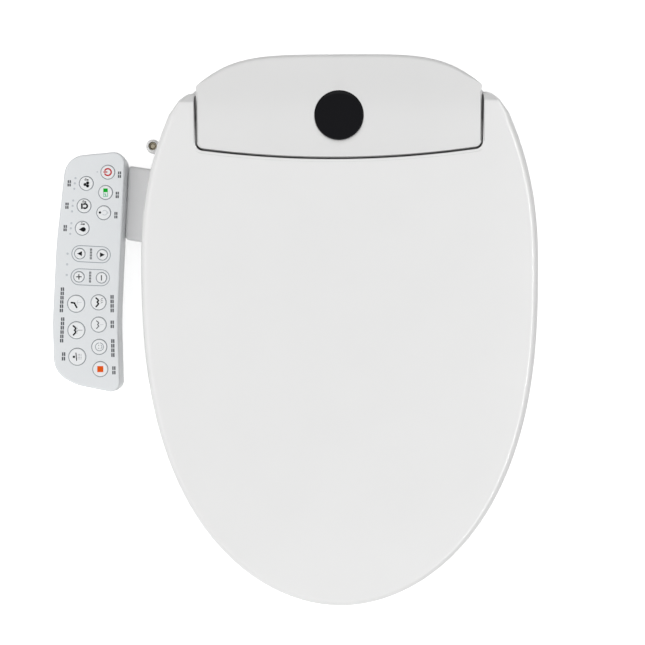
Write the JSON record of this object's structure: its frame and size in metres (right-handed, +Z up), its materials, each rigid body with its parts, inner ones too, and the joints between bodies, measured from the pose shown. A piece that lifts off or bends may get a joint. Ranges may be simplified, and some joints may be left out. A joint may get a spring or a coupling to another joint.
{
  "type": "electric bidet seat",
  "caption": "Electric bidet toilet seat: rounded lid over a heated seat ring, rear housing with wash nozzles and dryer, and a side control panel with round keys.",
  "frame": {"origin": "middle of the mounting plate's underside, halfway between the two bolt slots; z = 0 is the plane of the bowl rim", "axes": "+Z up, +Y towards the tank behind the seat, +X towards the side away from the control panel"},
  "size_m": [0.4721, 0.5324, 0.124],
  "materials": {
    "white_gloss": "glossy injection-moulded white plastic",
    "white_panel": "satin cool-white plastic",
    "key_cap": "satin white key caps with printed symbols",
    "black_gloss": "polished smoked black plastic",
    "grey_plastic": "matt grey plastic",
    "rubber": "light grey soft rubber",
    "steel": "brushed steel",
    "brass": "machined brass",
    "circuit": "green circuit board with parts",
    "heating_foil": "foil heating mat",
    "clear_lens": "pale clear lens"
  },
  "bodies": {
    "housing": {"base_case": "white_gloss", "deck_cover": "white_gloss", "rear_cover": "white_gloss", "display_window": "black_gloss", "display_board": "circuit", "power_board": "circuit", "water_heater": "grey_plastic", "solenoid_valve": "grey_plastic", "supply_hose": "rubber", "dryer_blower": "grey_plastic", "night_light": "clear_lens", "nozzle_cradle": "grey_plastic", "nozzle_guard": "white_gloss", "rear_nozzle_motor": "steel", "front_nozzle_motor": "steel", "lid_damper": "grey_plastic", "seat_damper": "grey_plastic", "inlet_elbow": "white_gloss", "inlet_nipple": "brass", "cord_gland": "rubber", "side_arm": "white_panel", "panel_base": "white_panel", "panel_cover": "white_panel", "panel_board": "circuit"},
    "seat_ring": {"seat_top_shell": "white_gloss", "seat_bottom_shell": "white_gloss", "seat_heating_mat": "heating_foil", "seat_hinge_shaft": "steel", "seat_bumper_front_left": "rubber", "seat_bumper_front_right": "rubber", "seat_bumper_rear_left": "rubber", "seat_bumper_rear_right": "rubber"},
    "lid": {"lid_shell": "white_gloss", "lid_hinge_shaft": "steel", "lid_bumper_left": "rubber", "lid_bumper_right": "rubber"},
    "plate": {"mounting_plate": "grey_plastic"},
    "release": {"release_button": "white_panel"},
    "flap": {"dryer_flap": "white_gloss"},
    "nozzle_rear": {"rear_nozzle": "white_gloss"},
    "nozzle_front": {"front_nozzle": "white_gloss"},
    "pinion_rear": {"rear_pinion": "grey_plastic"},
    "pinion_front": {"front_pinion": "grey_plastic"},
    "power_key": {"key_power": "key_cap"},
    "eco_key": {"key_eco": "key_cap"},
    "light_key": {"key_light": "key_cap"},
    "air_heat_key": {"key_air_heat": "key_cap"},
    "seat_heat_key": {"key_seat_heat": "key_cap"},
    "water_heat_key": {"key_water_heat": "key_cap"},
    "nozzle_forward_key": {"key_nozzle_forward": "key_cap"},
    "pressure_up_key": {"key_pressure_up": "key_cap"},
    "nozzle_back_key": {"key_nozzle_back": "key_cap"},
    "pressure_down_key": {"key_pressure_down": "key_cap"},
    "front_wash_key": {"key_front_wash": "key_cap"},
    "rear_wash_key": {"key_rear_wash": "key_cap"},
    "self_clean_key": {"key_self_clean": "key_cap"},
    "dry_key": {"key_dry": "key_cap"},
    "massage_key": {"key_massage": "key_cap"},
    "child_key": {"key_child": "key_cap"},
    "stop_key": {"key_stop": "key_cap"}
  },
  "joints": [
    {"name": "seat_hinge", "type": "hinge", "parent": "housing", "child": "seat_ring", "pos_m": [0, 0, 0.092], "axis": [1, 0, 0], "range_deg": [-95, 0]},
    {"name": "lid_hinge", "type": "hinge", "parent": "seat_ring", "child": "lid", "pos_m": [0, 0, 0.092], "axis": [-1, 0, 0], "range_deg": [0, 100]},
    {"name": "plate_slide", "type": "slide", "parent": "housing", "child": "plate", "axis": [0, 1, 0], "range_m": [0, 0.04]},
    {"name": "release_press", "type": "slide", "parent": "housing", "child": "release", "axis": [-1, 0, 0], "range_m": [0, 0.003], "stiffness_N_per_m": 600},
    {"name": "flap_hinge", "type": "hinge", "parent": "housing", "child": "flap", "pos_m": [0.08, -0.0862, 0.035], "axis": [-1, 0, 0], "range_deg": [0, 70]},
    {"name": "rear_nozzle_slide", "type": "slide", "parent": "housing", "child": "nozzle_rear", "axis": [0, -0.9397, -0.342], "range_m": [0, 0.08]},
    {"name": "front_nozzle_slide", "type": "slide", "parent": "housing", "child": "nozzle_front", "axis": [0, -0.9397, -0.342], "range_m": [0, 0.08]},
    {"name": "rear_pinion_spin", "type": "hinge", "parent": "housing", "child": "pinion_rear", "pos_m": [-0.01, -0.03576, 0.02032], "axis": [1, 0, 0], "range_deg": [0, 764]},
    {"name": "front_pinion_spin", "type": "hinge", "parent": "housing", "child": "pinion_front", "pos_m": [0.01, -0.03576, 0.02032], "axis": [1, 0, 0], "range_deg": [0, 764]},
    {"name": "power_press", "type": "slide", "parent": "housing", "child": "power_key", "axis": [0, 0, -1], "range_m": [0, 0.0006], "stiffness_N_per_m": 800},
    {"name": "eco_press", "type": "slide", "parent": "housing", "child": "eco_key", "axis": [0, 0, -1], "range_m": [0, 0.0006], "stiffness_N_per_m": 800},
    {"name": "light_press", "type": "slide", "parent": "housing", "child": "light_key", "axis": [0, 0, -1], "range_m": [0, 0.0006], "stiffness_N_per_m": 800},
    {"name": "air_heat_press", "type": "slide", "parent": "housing", "child": "air_heat_key", "axis": [0, 0, -1], "range_m": [0, 0.0006], "stiffness_N_per_m": 800},
    {"name": "seat_heat_press", "type": "slide", "parent": "housing", "child": "seat_heat_key", "axis": [0, 0, -1], "range_m": [0, 0.0006], "stiffness_N_per_m": 800},
    {"name": "water_heat_press", "type": "slide", "parent": "housing", "child": "water_heat_key", "axis": [0, 0, -1], "range_m": [0, 0.0006], "stiffness_N_per_m": 800},
    {"name": "nozzle_forward_press", "type": "slide", "parent": "housing", "child": "nozzle_forward_key", "axis": [0, 0, -1], "range_m": [0, 0.0006], "stiffness_N_per_m": 800},
    {"name": "pressure_up_press", "type": "slide", "parent": "housing", "child": "pressure_up_key", "axis": [0, 0, -1], "range_m": [0, 0.0006], "stiffness_N_per_m": 800},
    {"name": "nozzle_back_press", "type": "slide", "parent": "housing", "child": "nozzle_back_key", "axis": [0, 0, -1], "range_m": [0, 0.0006], "stiffness_N_per_m": 800},
    {"name": "pressure_down_press", "type": "slide", "parent": "housing", "child": "pressure_down_key", "axis": [0, 0, -1], "range_m": [0, 0.0006], "stiffness_N_per_m": 800},
    {"name": "front_wash_press", "type": "slide", "parent": "housing", "child": "front_wash_key", "axis": [0, 0, -1], "range_m": [0, 0.0006], "stiffness_N_per_m": 800},
    {"name": "rear_wash_press", "type": "slide", "parent": "housing", "child": "rear_wash_key", "axis": [0, 0, -1], "range_m": [0, 0.0006], "stiffness_N_per_m": 800},
    {"name": "self_clean_press", "type": "slide", "parent": "housing", "child": "self_clean_key", "axis": [0, 0, -1], "range_m": [0, 0.0006], "stiffness_N_per_m": 800},
    {"name": "dry_press", "type": "slide", "parent": "housing", "child": "dry_key", "axis": [0, 0, -1], "range_m": [0, 0.0006], "stiffness_N_per_m": 800},
    {"name": "massage_press", "type": "slide", "parent": "housing", "child": "massage_key", "axis": [0, 0, -1], "range_m": [0, 0.0006], "stiffness_N_per_m": 800},
    {"name": "child_press", "type": "slide", "parent": "housing", "child": "child_key", "axis": [0, 0, -1], "range_m": [0, 0.0006], "stiffness_N_per_m": 800},
    {"name": "stop_press", "type": "slide", "parent": "housing", "child": "stop_key", "axis": [0, 0, -1], "range_m": [0, 0.0006], "stiffness_N_per_m": 800}
  ],
  "couplings": [
    {"joint": "rear_pinion_spin", "follows": "rear_nozzle_slide", "rad_per_m": 166.67},
    {"joint": "front_pinion_spin", "follows": "front_nozzle_slide", "rad_per_m": 166.67}
  ]
}
